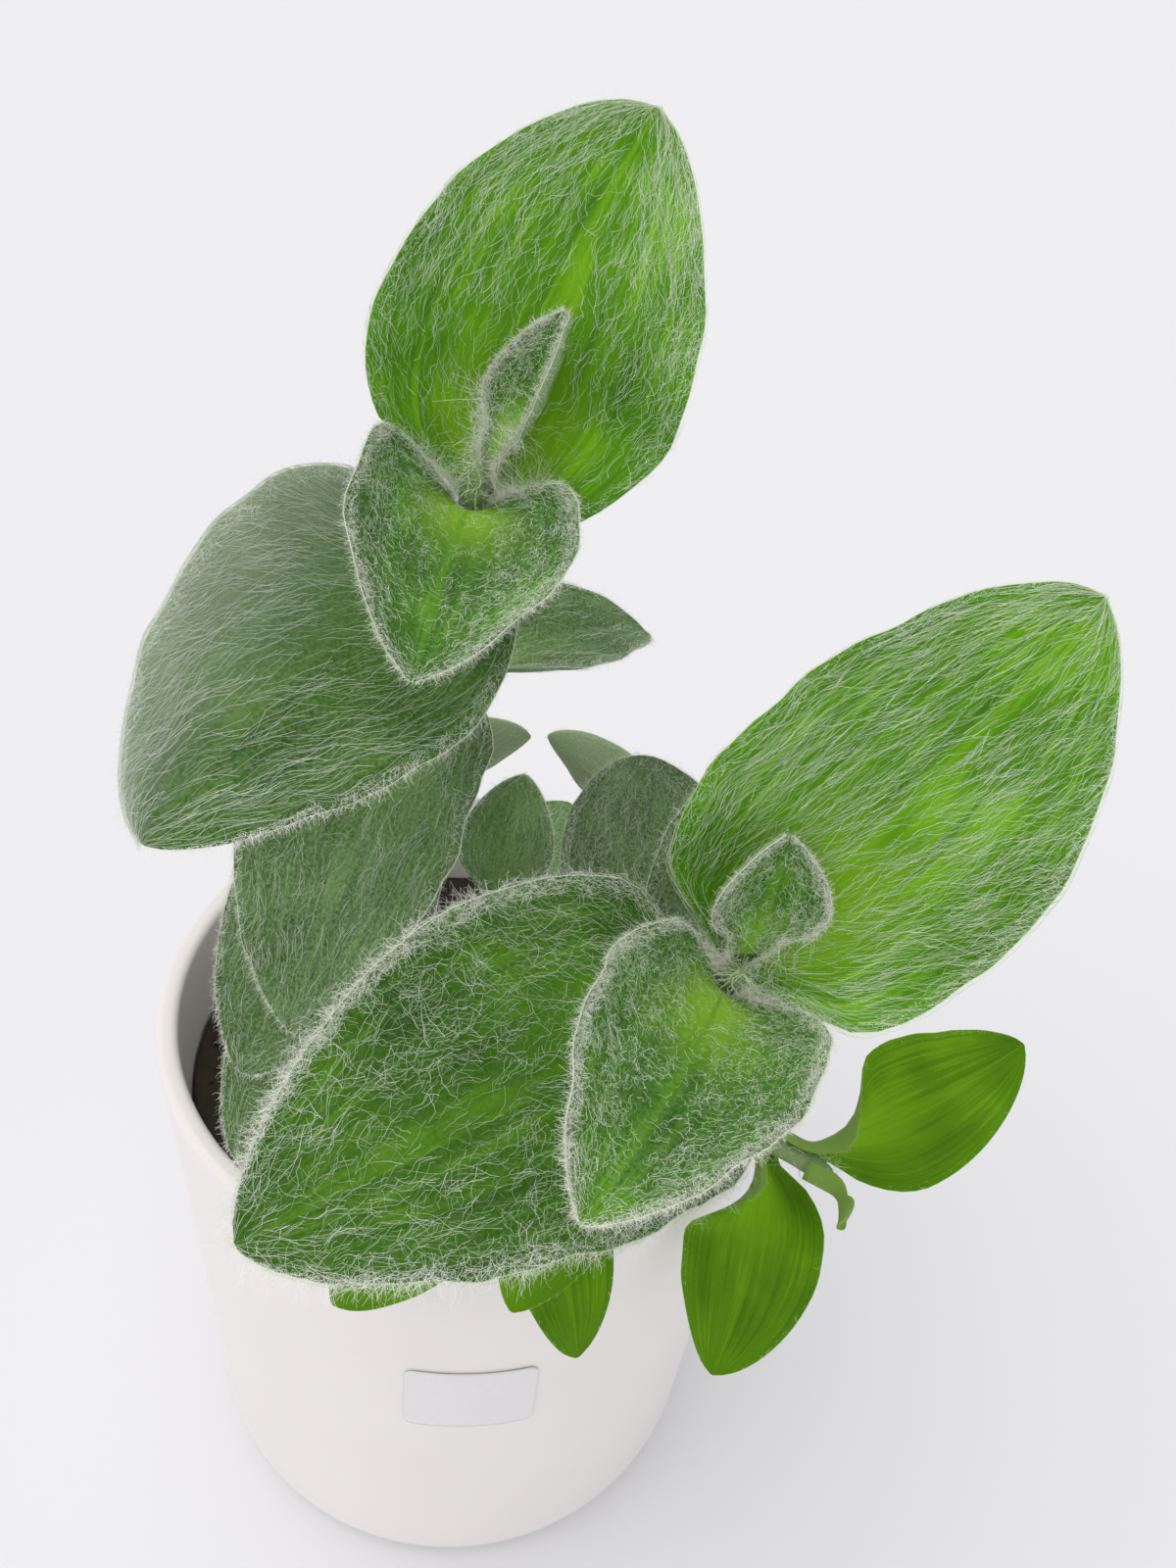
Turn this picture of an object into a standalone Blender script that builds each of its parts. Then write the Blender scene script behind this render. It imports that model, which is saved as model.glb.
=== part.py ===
# A cobwebby tradescantia in a plain glazed pot: pot, bare sticker, soil, leafy stems and clasping leaves.
# Sizes are in millimetres and are turned into metres as each mesh is made. The pot stands on Z = 0 with
# its axis on Z, and -Y is the front. Azimuths are in degrees, 0 at the back (+Y) and 90 at the right (+X).
import math
import random

import bpy
import bmesh
import numpy as np

MM = 0.001
GAP = 0.3

# The pot, turned, with a slight taper and a rounded foot
POT_HEIGHT = 125.0
RIM_RADIUS = 60.0
FOOT_RADIUS = 55.0
FOOT_ROUND = 10.0
WALL = 4.0
FLOOR = 6.0
RIM_ROUND = 1.6
POT_SIDES = 48

# The sticker on the front of the pot
STICKER_WIDTH = 24.5
STICKER_HEIGHT = 21.0
STICKER_THICKNESS = 0.6
STICKER_AZIMUTH = 167.5
STICKER_MIDDLE = 79.0

# The soil, level with a low relief
SOIL_TOP = 105.0
SOIL_RELIEF = 1.6
SOIL_SIDES = 32
SOIL_SEED = 7

# Stems stand in plain round holes
STEM_SIDES = 8
STEM_FOOT = 88.0
HOLE_CLEARANCE = 0.5

# Each stem ends in a pointed bud: share of its length, share of the stem's radius
BUD_LENGTH = 4.0
BUD_RINGS = ((0.35, 1.0), (0.7, 0.72), (1.0, 0.2))

# A leaf clasps its stem along a short sheath, bends out and opens into a boat-shaped blade
SHEATH = 4.0
BEND = 4.5
SHEATH_THICKNESS = 0.8
MIDDLE_THICKNESS = 1.4
MARGIN_THICKNESS = 0.8
CLASP_CLEARANCE = 0.45
TIP_HALF_WIDTH = 0.45
TIGHTEST_FOLD = 1.3
BASE_SHARE = 0.06
OUTLINE_POWER = 0.62
LOBE_REACH = 0.6


def leaf(below, azimuth, rise, length, width, curl=25, cup=25, roll=0, full=0.75, clasp=70, held=0.3,
         lobes=(0, 0), cells=(6, 4)):
    """One leaf: its node's distance below the stem's tip, where it points, its size and its shape.

    curl is how far the blade bends down along its length, cup how far its halves fold up, roll how far it
    turns about its own length, and full sets how near the base the blade is widest. clasp is the half angle
    of the sheath, and held the share of the blade over which that fold opens into the cup. lobes is how far
    the base reaches back on its left and on its right.
    """
    return dict(below=below, azimuth=azimuth, rise=rise, length=length, width=width, curl=curl, cup=cup,
                roll=roll, full=full, clasp=clasp, held=held, lobes=lobes, cells=cells)


# Each stem: its radius at the foot and at the tip, the points that its middle passes through from where it
# leaves the soil, and its leaves from the tip down
STEMS = {
    # The tall shoot at the front left
    "a": dict(radii=(2.7, 1.8),
              route=[(-14, 6, 107), (-13, 0, 140), (-8, -6, 180), (-3, -14, 218), (0, -21, 248)],
              leaves=[leaf(0.5, 82, 68, 18, 12.5, curl=-15, cup=75, full=0.7, clasp=50),
                      leaf(8, 179, -5, 34, 35, curl=42, cup=60, roll=-10, full=0.75, clasp=72, held=0.7,
                           lobes=(7, 2), cells=(8, 6)),
                      leaf(12, 45, 64, 53, 42, curl=40, cup=28, roll=22, full=0.78, clasp=46, cells=(9, 6)),
                      leaf(17, 208, -15, 57, 41, curl=42, cup=28, roll=-28, full=0.7, cells=(9, 6)),
                      leaf(38, 201, -48, 58, 40, curl=45, cup=30, roll=25, full=0.9),
                      leaf(46, 35, -16, 42, 22, curl=30, cup=40),
                      leaf(57, 298, -12, 34, 26, curl=35),
                      leaf(65, 213, -46, 56, 33, curl=35),
                      leaf(88, 330, -10, 24, 20, curl=30),
                      leaf(96, 203, -31, 54, 28, curl=40)]),
    # The shoot that leans out to the front right
    "b": dict(radii=(2.7, 1.8),
              route=[(12, -9, 107), (19, -22, 135), (28, -41, 168), (37, -57, 195), (42.2, -65.7, 211.4)],
              leaves=[leaf(0.5, 40, 78, 14, 16.5, curl=-10, cup=55, clasp=50, held=0.5),
                      leaf(5, 195, 17, 47, 30, curl=32, cup=52, roll=15, full=0.85, clasp=60, held=0.7,
                           lobes=(2, 6), cells=(8, 6)),
                      leaf(9, 60, 52, 61, 43, curl=42, cup=14, roll=16, full=0.82, clasp=50, cells=(9, 6)),
                      leaf(15, 220, 8, 65, 45, curl=42, cup=25, roll=18, full=0.76, cells=(9, 6)),
                      leaf(31, 39, 36, 50, 35, curl=35),
                      leaf(49, 357, 6, 50, 33, curl=30),
                      leaf(57, 190, -16, 40, 22, curl=55)]),
    # The smoother shoot that lies over the rim at the right
    "c": dict(radii=(2.4, 1.7),
              route=[(30, -16, 107), (38, -20, 124), (51, -26, 133), (66, -32, 133)],
              leaves=[leaf(0.5, 185, 10, 6, 6, cup=60, clasp=55),
                      leaf(8, 60, 18, 40, 27, curl=15, roll=-65),
                      leaf(16, 186, -48, 37, 25, curl=25, roll=68),
                      leaf(26, 20, 25, 30, 22, roll=-50)]),
    # The short shoot under the big leaf at the front
    "d": dict(radii=(2.2, 1.6),
              route=[(6, -30, 107), (10, -36, 122), (15, -43, 141)],
              leaves=[leaf(2, 148, -44, 33, 18, curl=55),
                      leaf(10.5, 224, -26, 34, 20, curl=55),
                      leaf(19, 100, 20, 20, 16),
                      leaf(22, 240, 15, 24, 16, curl=30)]),
    # The young shoot in the middle
    "e": dict(radii=(2.2, 1.5),
              route=[(2, 20, 107), (2, 14, 125), (2, 7, 142)],
              leaves=[leaf(4, 10, 60, 22, 20, curl=15, cup=40),
                      leaf(9, 185, 35, 20, 15, curl=25, cup=40),
                      leaf(18, 15, 12, 30, 22)]),
    # The shoot over the rim at the back right
    "f": dict(radii=(2.4, 1.6),
              route=[(24, 24, 107), (29, 35, 124), (36, 48, 132), (43, 60, 129)],
              leaves=[leaf(4, 110, 5, 24, 16, cup=35, roll=-30),
                      leaf(9, 275, -5, 20, 17, roll=30),
                      leaf(17, 115, 5, 40, 27, roll=-30),
                      leaf(27, 300, 24, 32, 22, roll=30)]),
    # The shoot over the rim at the back left
    "g": dict(radii=(2.4, 1.6),
              route=[(-22, 26, 107), (-27, 37, 124), (-34, 49, 132), (-41, 60, 129)],
              leaves=[leaf(4, 245, 5, 26, 17, cup=35, roll=30),
                      leaf(9, 60, -5, 20, 17, roll=-30),
                      leaf(17, 240, 5, 38, 26, roll=30),
                      leaf(27, 50, 12, 34, 24, roll=-30)]),
}

LEAF_COLOUR = (0.13, 0.27, 0.06, 1.0)
YOUNG_COLOUR = (0.30, 0.42, 0.22, 1.0)
STEM_COLOUR = (0.35, 0.45, 0.22, 1.0)
SOIL_COLOUR = (0.03, 0.022, 0.016, 1.0)
GLAZE_COLOUR = (0.80, 0.78, 0.74, 1.0)
PAPER_COLOUR = (0.90, 0.90, 0.90, 1.0)


def material(name, colour, roughness):
    made = bpy.data.materials.new(name)
    made.use_nodes = True
    shader = made.node_tree.nodes["Principled BSDF"]
    shader.inputs["Base Color"].default_value = colour
    shader.inputs["Roughness"].default_value = roughness
    shader.inputs["Metallic"].default_value = 0.0
    return made


def solid(name, points, faces, look, smooth_angle=40):
    """Make a named object from points in millimetres, its faces turned outwards."""
    mesh = bpy.data.meshes.new(name)
    mesh.from_pydata((np.array(points) * MM).tolist(), [], faces)
    shaped = bmesh.new()
    shaped.from_mesh(mesh)
    bmesh.ops.recalc_face_normals(shaped, faces=shaped.faces)
    shaped.to_mesh(mesh)
    shaped.free()
    mesh.materials.append(look)
    mesh.shade_smooth()
    mesh.set_sharp_from_angle(angle=math.radians(smooth_angle))
    made = bpy.data.objects.new(name, mesh)
    bpy.context.scene.collection.objects.link(made)
    return made


def turned(rings, sides):
    """Points and faces of rings (radius, height) round the Z axis, closed flat at both ends."""
    turn = np.linspace(0, 2 * math.pi, sides, endpoint=False)
    points = [(radius * math.cos(t), radius * math.sin(t), height) for radius, height in rings for t in turn]
    faces = [tuple(reversed(range(sides))), tuple(range(len(points) - sides, len(points)))]
    for ring in range(len(rings) - 1):
        low, high = ring * sides, (ring + 1) * sides
        for side in range(sides):
            after = (side + 1) % sides
            faces.append((low + side, low + after, high + after, high + side))
    return points, faces


def arc(middle, radius, start, end, steps):
    """Points of an arc in the plane of radius and height, angles in degrees."""
    angles = np.radians(np.linspace(start, end, steps + 1))
    return [(middle[0] + radius * math.cos(a), middle[1] + radius * math.sin(a)) for a in angles]


def outer_radius(height):
    return FOOT_RADIUS + (RIM_RADIUS - FOOT_RADIUS) * height / POT_HEIGHT


def inner_radius(height):
    return outer_radius(height) - WALL


def make_pot():
    foot_middle = (outer_radius(FOOT_ROUND) - FOOT_ROUND, FOOT_ROUND)
    rim_middle = (RIM_RADIUS - RIM_ROUND, POT_HEIGHT - RIM_ROUND)
    inner_rim = (inner_radius(POT_HEIGHT) + RIM_ROUND, POT_HEIGHT - RIM_ROUND)
    inner_round = FOOT_ROUND - WALL
    floor_middle = (inner_radius(FLOOR + inner_round) - inner_round, FLOOR + inner_round)
    profile = arc(foot_middle, FOOT_ROUND, -90, 0, 4)
    profile += arc(rim_middle, RIM_ROUND, 0, 90, 2) + arc(inner_rim, RIM_ROUND, 90, 180, 2)
    profile += arc(floor_middle, inner_round, 0, -90, 2)
    points, faces = turned(profile, POT_SIDES)
    return solid("pot", points, faces, material("satin glaze", GLAZE_COLOUR, 0.35))


def make_sticker():
    """A thin sheet that follows the pot's wall, with rounded corners."""
    columns, corner = 8, 3.0
    half_width, half_height = STICKER_WIDTH / 2, STICKER_HEIGHT / 2
    points = []
    for depth in (0, STICKER_THICKNESS):
        for column in range(columns + 1):
            across = half_width * math.sin(math.pi * (column / columns - 0.5))
            past = max(0.0, abs(across) - (half_width - corner))
            reach = half_height - corner + math.sqrt(corner ** 2 - past ** 2)
            for side in (-1, 1):
                height = STICKER_MIDDLE + side * max(reach, 0.5)
                radius = outer_radius(height) + GAP + depth
                angle = math.radians(STICKER_AZIMUTH) - across / radius
                points.append((radius * math.sin(angle), radius * math.cos(angle), height))
    count = 2 * (columns + 1)
    faces = []
    for column in range(columns):
        a, b, c, d = (2 * column + k for k in (0, 1, 3, 2))
        faces += [(a, b, c, d), (a + count, d + count, c + count, b + count)]
        faces += [(a, d, d + count, a + count), (b, b + count, c + count, c)]
    last = 2 * columns
    faces += [(0, count, count + 1, 1), (last, last + 1, last + 1 + count, last + count)]
    return solid("sticker", points, faces, material("paper", PAPER_COLOUR, 0.6))


def stem_line(route, steps=10):
    """A smooth curve through the route's points that leaves the soil upright, from the stem's foot."""
    ends = np.array(route, float)
    upright = np.array([0, 0, 2 * np.linalg.norm(ends[1] - ends[0])])
    ends = np.vstack([ends[1] - upright, ends, 2 * ends[-1] - ends[-2]])
    line = [(route[0][0], route[0][1], STEM_FOOT)]
    for i in range(len(ends) - 3):
        before, here, there, after = ends[i:i + 4]
        for t in np.arange(steps) / steps:
            line.append(0.5 * (2 * here + (there - before) * t
                               + (2 * before - 5 * here + 4 * there - after) * t ** 2
                               + (3 * here - before - 3 * there + after) * t ** 3))
    line.append(ends[-2])
    return np.array(line)


def run_of(line):
    return np.concatenate([[0.0], np.cumsum(np.linalg.norm(np.diff(line, axis=0), axis=1))])


def point_on(line, distance):
    run = run_of(line)
    return np.array([np.interp(distance, run, line[:, axis]) for axis in range(3)])


def unit(vector):
    return vector / np.linalg.norm(vector)


def ease(x):
    x = min(max(x, 0.0), 1.0)
    return x * x * (3 - 2 * x)


def stem_radius(stem, line, distance):
    foot, tip = stem["radii"]
    return foot + (tip - foot) * distance / run_of(line)[-1]


def make_stem(key, stem, look):
    line = stem_line(stem["route"], steps=4)
    radii = [stem_radius(stem, line, distance) for distance in run_of(line)]
    ahead = unit(line[-1] - line[-2])
    line = np.vstack([line] + [line[-1] + ahead * BUD_LENGTH * share for share, _ in BUD_RINGS])
    radii += [radii[-1] * size for _, size in BUD_RINGS]
    side = np.array([1.0, 0.0, 0.0])
    points = []
    for i, (middle, radius) in enumerate(zip(line, radii)):
        along = unit(line[min(i + 1, len(line) - 1)] - line[max(i - 1, 0)])
        side = unit(side - (side @ along) * along)
        across = np.cross(along, side)
        for k in range(STEM_SIDES):
            t = 2 * math.pi * k / STEM_SIDES
            points.append(middle + radius * (math.cos(t) * side + math.sin(t) * across))
    faces = [tuple(reversed(range(STEM_SIDES))), tuple(range(len(points) - STEM_SIDES, len(points)))]
    for ring in range(len(line) - 1):
        low, high = ring * STEM_SIDES, (ring + 1) * STEM_SIDES
        for k in range(STEM_SIDES):
            after = (k + 1) % STEM_SIDES
            faces.append((low + k, low + after, high + after, high + k))
    return solid("stem_" + key, points, faces, look)


def half_width(spec, x):
    """Half the blade's width at a share x of its length."""
    rising = (BASE_SHARE + (1 - BASE_SHARE) * x) ** spec["full"]
    return spec["width"] / 2 * max(0.0, math.sin(math.pi * rising)) ** OUTLINE_POWER


def leaf_middle(stem, spec):
    """The leaf's middle surface: rows of points from node to tip, their normals towards the upper side,
    and each row's distance from the node."""
    rows_along, columns = spec["cells"]
    line = stem_line(stem["route"])
    node = run_of(line)[-1] - spec["below"]
    start = point_on(line, node)
    up = unit(point_on(line, node + SHEATH) - start)
    azimuth, rise = math.radians(spec["azimuth"]), math.radians(spec["rise"])
    aim = np.array([math.sin(azimuth) * math.cos(rise), math.cos(azimuth) * math.cos(rise), math.sin(rise)])
    out = unit(aim - (aim @ up) * up)
    across = np.cross(up, -out)
    clasp = math.radians(spec["clasp"])
    clear = stem_radius(stem, line, node) + CLASP_CLEARANCE + SHEATH_THICKNESS / 2
    sheath_radius = clear / math.cos(clasp / columns)
    lean = math.atan2(aim @ out, aim @ up)
    first = lean - math.radians(spec["curl"]) / 2
    last = lean + math.radians(spec["curl"]) / 2

    def angle_at(distance):
        if distance <= SHEATH + BEND:
            return first * ease((distance - SHEATH) / BEND)
        return first + (last - first) * (distance - SHEATH - BEND) / spec["length"]

    whole = SHEATH + BEND + spec["length"]
    fine = np.linspace(0, whole, 121)
    path = [start + out * sheath_radius]
    for a, b in zip(fine[:-1], fine[1:]):
        angle = angle_at((a + b) / 2)
        path.append(path[-1] + (math.cos(angle) * up + math.sin(angle) * out) * (b - a))
    path = np.array(path)
    blade = SHEATH + BEND + spec["length"] * np.linspace(0, 1, rows_along + 1) ** 0.9
    distances = [0, SHEATH, SHEATH + BEND / 2] + list(blade)
    clasp_half, base_half = sheath_radius * clasp, half_width(spec, 0)
    shares = np.linspace(-1, 1, columns + 1)[:, None]
    rows, normals = [], []
    for distance in distances:
        x = (distance - SHEATH - BEND) / spec["length"]
        grow = ease((distance - SHEATH) / (BEND + 0.12 * spec["length"]))
        wide = base_half if x <= 0 else half_width(spec, x)
        half = max(clasp_half + (wide - clasp_half) * grow, TIP_HALF_WIDTH)
        fold = clasp + (math.radians(spec["cup"]) - clasp) * ease(x / spec["held"])
        fold = min(fold, half / TIGHTEST_FOLD)
        angle, turn = angle_at(distance), math.radians(spec["roll"]) * ease(x / 0.35)
        along = math.cos(angle) * up + math.sin(angle) * out
        facing = np.cross(across, along)
        top = math.cos(turn) * facing + math.sin(turn) * across
        wise = math.cos(turn) * across - math.sin(turn) * facing
        middle = np.array([np.interp(distance, fine, path[:, axis]) for axis in range(3)])
        radius = half / fold
        back = grow * (1 - ease(x / LOBE_REACH)) * np.where(shares > 0, *spec["lobes"]) * abs(shares) ** 1.4
        rows.append(middle + radius * (np.sin(fold * shares) * wise + (1 - np.cos(fold * shares)) * top)
                    - back * along)
        normals.append(np.cos(fold * shares) * top - np.sin(fold * shares) * wise)
    return np.array(rows), np.array(normals), np.array(distances)


def make_leaf(name, stem, spec, look):
    rows, normals, distances = leaf_middle(stem, spec)
    count, columns = rows.shape[0], rows.shape[1]
    across = np.linspace(-1, 1, columns)[None, :, None]
    opened = np.array([ease((d - SHEATH) / (BEND + 8)) for d in distances])[:, None, None]
    closing = np.array([ease((SHEATH + BEND + spec["length"] - d) / 8) for d in distances])[:, None, None]
    middle = SHEATH_THICKNESS + (MIDDLE_THICKNESS - SHEATH_THICKNESS) * opened * closing
    thick = MARGIN_THICKNESS + (middle - MARGIN_THICKNESS) * (1 - across ** 2)
    points = np.concatenate([(rows + normals * thick / 2).reshape(-1, 3),
                             (rows - normals * thick / 2).reshape(-1, 3)])
    under = count * columns
    faces = []
    for i in range(count - 1):
        for j in range(columns - 1):
            a, b = i * columns + j, i * columns + j + 1
            c, d = b + columns, a + columns
            for triangle in ((a, b, c), (a, c, d)):
                faces.append(triangle)
                faces.append(tuple(under + k for k in reversed(triangle)))
        for j in (0, columns - 1):
            a, d = i * columns + j, (i + 1) * columns + j
            faces.append((a, d, under + d, under + a))
    for i in (0, count - 1):
        for j in range(columns - 1):
            a, b = i * columns + j, i * columns + j + 1
            faces.append((a, under + a, under + b, b))
    return solid(name, points, faces, look, smooth_angle=60)


def make_hole_cutter():
    """Upright round cutters, one for each stem."""
    points, faces = [], []
    for stem in STEMS.values():
        x, y = stem["route"][0][:2]
        radius = stem["radii"][0] + HOLE_CLEARANCE
        rings = [(radius, STEM_FOOT - GAP), (radius, SOIL_TOP + 5 * SOIL_RELIEF)]
        ring_points, ring_faces = turned(rings, 12)
        faces += [tuple(len(points) + k for k in face) for face in ring_faces]
        points += [(x + px, y + py, z) for px, py, z in ring_points]
    cutter = solid("stem_holes", points, faces, material("cutter", STEM_COLOUR, 0.5))
    cutter.hide_render = True
    cutter.display_type = "WIRE"
    return cutter


def make_soil():
    """A plug that fills the pot up to its relief, with a hole for each stem."""
    draw = random.Random(SOIL_SEED)
    bumps = [(draw.uniform(-50, 50), draw.uniform(-50, 50), draw.uniform(6, 14), draw.uniform(-1, 1))
             for _ in range(26)]

    def relief(x, y):
        return SOIL_RELIEF * sum(lift * math.exp(-((x - bx) ** 2 + (y - by) ** 2) / wide ** 2)
                                 for bx, by, wide, lift in bumps)

    edge = inner_radius(SOIL_TOP) - GAP - 0.3
    inner_round = FOOT_ROUND - WALL
    bottom = FLOOR + GAP
    rings = [(inner_radius(FLOOR) - inner_round - 1, bottom),
             (inner_radius(FLOOR + inner_round) - inner_round * 0.3 - 1, bottom + 0.3 * inner_round),
             (inner_radius(FLOOR + inner_round) - GAP - 0.3, bottom + inner_round + 1), (edge, SOIL_TOP - 4)]
    rings += [(edge * share, SOIL_TOP) for share in (0.99, 0.88, 0.74, 0.6, 0.46, 0.32, 0.18, 0.05)]
    points, faces = turned(rings, SOIL_SIDES)
    flat = 4 * SOIL_SIDES
    points = [(x, y, z + (relief(x, y) if i >= flat else 0)) for i, (x, y, z) in enumerate(points)]
    last = faces.pop(1)
    points.append((0, 0, SOIL_TOP + relief(0, 0)))
    faces += [(last[k], last[(k + 1) % SOIL_SIDES], len(points) - 1) for k in range(SOIL_SIDES)]
    soil = solid("soil", points, faces, material("peaty soil", SOIL_COLOUR, 0.95))
    bpy.context.view_layer.update()
    cut = soil.modifiers.new("stem holes", "BOOLEAN")
    cut.operation = "DIFFERENCE"
    cut.solver = "EXACT"
    cut.object = make_hole_cutter()
    return soil


def make_plant():
    stem_look = material("stem", STEM_COLOUR, 0.6)
    leaf_look = material("leaf", LEAF_COLOUR, 0.55)
    young_look = material("young leaf", YOUNG_COLOUR, 0.7)
    for key, stem in STEMS.items():
        make_stem(key, stem, stem_look)
        for number, spec in enumerate(stem["leaves"], 1):
            look = young_look if number == 1 else leaf_look
            make_leaf("leaf_%s%d" % (key, number), stem, spec, look)


for old in list(bpy.data.objects):
    bpy.data.objects.remove(old)
make_pot()
make_sticker()
make_soil()
make_plant()
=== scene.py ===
import math
import random

import bmesh
import bpy
import numpy as np
from mathutils import Matrix, Vector


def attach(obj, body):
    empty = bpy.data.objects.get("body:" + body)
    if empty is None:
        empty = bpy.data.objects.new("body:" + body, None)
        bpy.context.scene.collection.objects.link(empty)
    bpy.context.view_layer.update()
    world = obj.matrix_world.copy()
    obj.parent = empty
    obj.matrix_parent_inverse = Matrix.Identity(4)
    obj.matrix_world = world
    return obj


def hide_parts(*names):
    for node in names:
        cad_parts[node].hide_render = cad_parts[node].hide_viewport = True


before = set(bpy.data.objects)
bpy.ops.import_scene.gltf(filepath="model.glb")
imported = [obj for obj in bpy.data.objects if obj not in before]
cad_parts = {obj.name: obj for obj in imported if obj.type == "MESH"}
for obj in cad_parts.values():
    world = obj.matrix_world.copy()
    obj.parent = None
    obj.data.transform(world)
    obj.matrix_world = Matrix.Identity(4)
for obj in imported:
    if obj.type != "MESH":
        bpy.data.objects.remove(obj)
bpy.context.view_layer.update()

mm = 0.001
scene = bpy.context.scene


# camera, where the photograph was taken from: close above the front of the plant, looking down
cameraPlace = dict(
    position=(31.0, -190.5, 343.5),
    pitch=40.0,      # degrees below the horizon
    yaw=-4.0,        # turned a little to the left
    roll=6.4,        # the camera was held slightly askew
    lens=33.75, sensor=36.0)


def makeCamera(place):
    pitch, yaw, roll = (math.radians(place[key]) for key in ("pitch", "yaw", "roll"))
    forward = Vector((math.sin(yaw) * math.cos(pitch), math.cos(yaw) * math.cos(pitch), -math.sin(pitch)))
    right = Vector((math.cos(yaw), -math.sin(yaw), 0))
    up = right.cross(forward)
    turnedRight = math.cos(roll) * right + math.sin(roll) * up
    turnedUp = math.cos(roll) * up - math.sin(roll) * right
    data = bpy.data.cameras.new("camera")
    data.lens, data.sensor_width = place["lens"], place["sensor"]
    data.clip_start, data.clip_end = 0.01, 50
    camera = bpy.data.objects.new("camera", data)
    turn = Matrix((turnedRight, turnedUp, -forward)).transposed().to_4x4()
    camera.matrix_world = Matrix.Translation(Vector(place["position"]) * mm) @ turn
    scene.collection.objects.link(camera)
    scene.camera = camera


makeCamera(cameraPlace)
scene.view_settings.view_transform = "Standard"    # the colours come out as they are given
print("camera placed")


# small tools for colours, nodes and meshes

def linear(hexColour):    # an sRGB hex value as the linear colour that the shaders take
    channels = [int(hexColour[i:i + 2], 16) / 255 for i in (1, 3, 5)]
    return tuple(c / 12.92 if c <= 0.04045 else ((c + 0.055) / 1.055) ** 2.4 for c in channels) + (1.0,)


def addNode(tree, kind, inputs=None, **settings):
    node = tree.nodes.new(kind)
    for key, value in settings.items():
        setattr(node, key, value)
    for key, value in (inputs or {}).items():
        if isinstance(value, bpy.types.NodeSocket):
            tree.links.new(value, node.inputs[key])
        else:
            node.inputs[key].default_value = value
    return node


def calculate(tree, operation, *values):
    return addNode(tree, "ShaderNodeMath", dict(enumerate(values)), operation=operation).outputs[0]


def noise(tree, place, scale, detail, roughness=0.5):
    inputs = {"Vector": place, "Scale": scale, "Detail": detail, "Roughness": roughness}
    return addNode(tree, "ShaderNodeTexNoise", inputs).outputs[0]


def ramp(tree, value, start, end, top=1.0, kind="SMOOTHSTEP"):    # from 0 at start to top at end
    inputs = {0: value, 1: start, 2: end, 4: top}
    return addNode(tree, "ShaderNodeMapRange", inputs, interpolation_type=kind).outputs[0]


def mixColours(tree, share, first, second):
    return addNode(tree, "ShaderNodeMix", {0: share, 6: first, 7: second}, data_type="RGBA").outputs[2]


# settings are the Principled sockets that are the same all over the surface
def newMaterial(name, settings):
    material = bpy.data.materials.new(name)
    material.use_nodes = True
    shader = material.node_tree.nodes["Principled BSDF"]
    for key, value in settings.items():
        shader.inputs[key].default_value = value
    return material, material.node_tree, shader


def dress(tree, shader, colour, height, strength, depth):    # a colour and a relief, its depth in metres
    bump = addNode(tree, "ShaderNodeBump", {"Height": height, "Strength": strength, "Distance": depth})
    tree.links.new(colour, shader.inputs["Base Color"])
    tree.links.new(bump.outputs[0], shader.inputs["Normal"])


# faces is a list of index arrays, one for each number of corners; uvs has one pair for each corner
def newPiece(name, points, faces, material, nodes, uvs=None):
    mesh = bpy.data.meshes.new(name)
    corners = np.concatenate([np.asarray(group).ravel() for group in faces])
    sizes = np.concatenate([np.full(len(group), np.asarray(group).shape[1]) for group in faces])
    mesh.vertices.add(len(points))
    mesh.vertices.foreach_set("co", (np.asarray(points) * mm).astype(np.float32).ravel())
    mesh.loops.add(len(corners))
    mesh.loops.foreach_set("vertex_index", corners.astype(np.int32))
    mesh.polygons.add(len(sizes))
    mesh.polygons.foreach_set("loop_start", (np.cumsum(sizes) - sizes).astype(np.int32))
    mesh.update(calc_edges=True)
    if uvs is not None:
        layer = mesh.uv_layers.new(name="surface")
        layer.data.foreach_set("uv", np.asarray(uvs, np.float32).ravel())
    mesh.materials.append(material)
    mesh.shade_smooth()
    piece = bpy.data.objects.new(name, mesh)
    scene.collection.objects.link(piece)
    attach(piece, "root")
    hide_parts(*nodes)


# walls between rings that follow each other, and flat ends; mirrored is for rings that run the other way
def ringFaces(count, around, mirrored=False):
    low = np.arange(count - 1)[:, None] * around + np.arange(around)
    after = np.arange(count - 1)[:, None] * around + (np.arange(around) + 1) % around
    first, last = np.arange(around)[None], np.arange((count - 1) * around, count * around)[None]
    if mirrored:
        walls = np.stack([low, low + around, after + around, after], -1)
        return [walls.reshape(-1, 4), first, last[:, ::-1]]
    walls = np.stack([low, after, after + around, low + around], -1)
    return [walls.reshape(-1, 4), first[:, ::-1], last]


def turnedShape(profile, sides):    # rings (radius, height) round Z, closed flat at both ends
    angles = np.linspace(0, 2 * math.pi, sides, endpoint=False)
    rings = np.asarray(profile, float)
    points = np.stack([rings[:, :1] * np.cos(angles), rings[:, :1] * np.sin(angles),
                       np.repeat(rings[:, 1:], sides, axis=1)], axis=-1).reshape(-1, 3)
    return points, ringFaces(len(rings), sides)


def arc(middle, radius, start, end, steps):
    angles = np.radians(np.linspace(start, end, steps + 1))
    return [(middle[0] + radius * math.cos(a), middle[1] + radius * math.sin(a)) for a in angles]


def ease(x):
    x = np.clip(x, 0.0, 1.0)
    return x * x * (3 - 2 * x)


def unit(vectors):
    return vectors / np.maximum(np.linalg.norm(vectors, axis=-1, keepdims=True), 1e-9)


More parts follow.
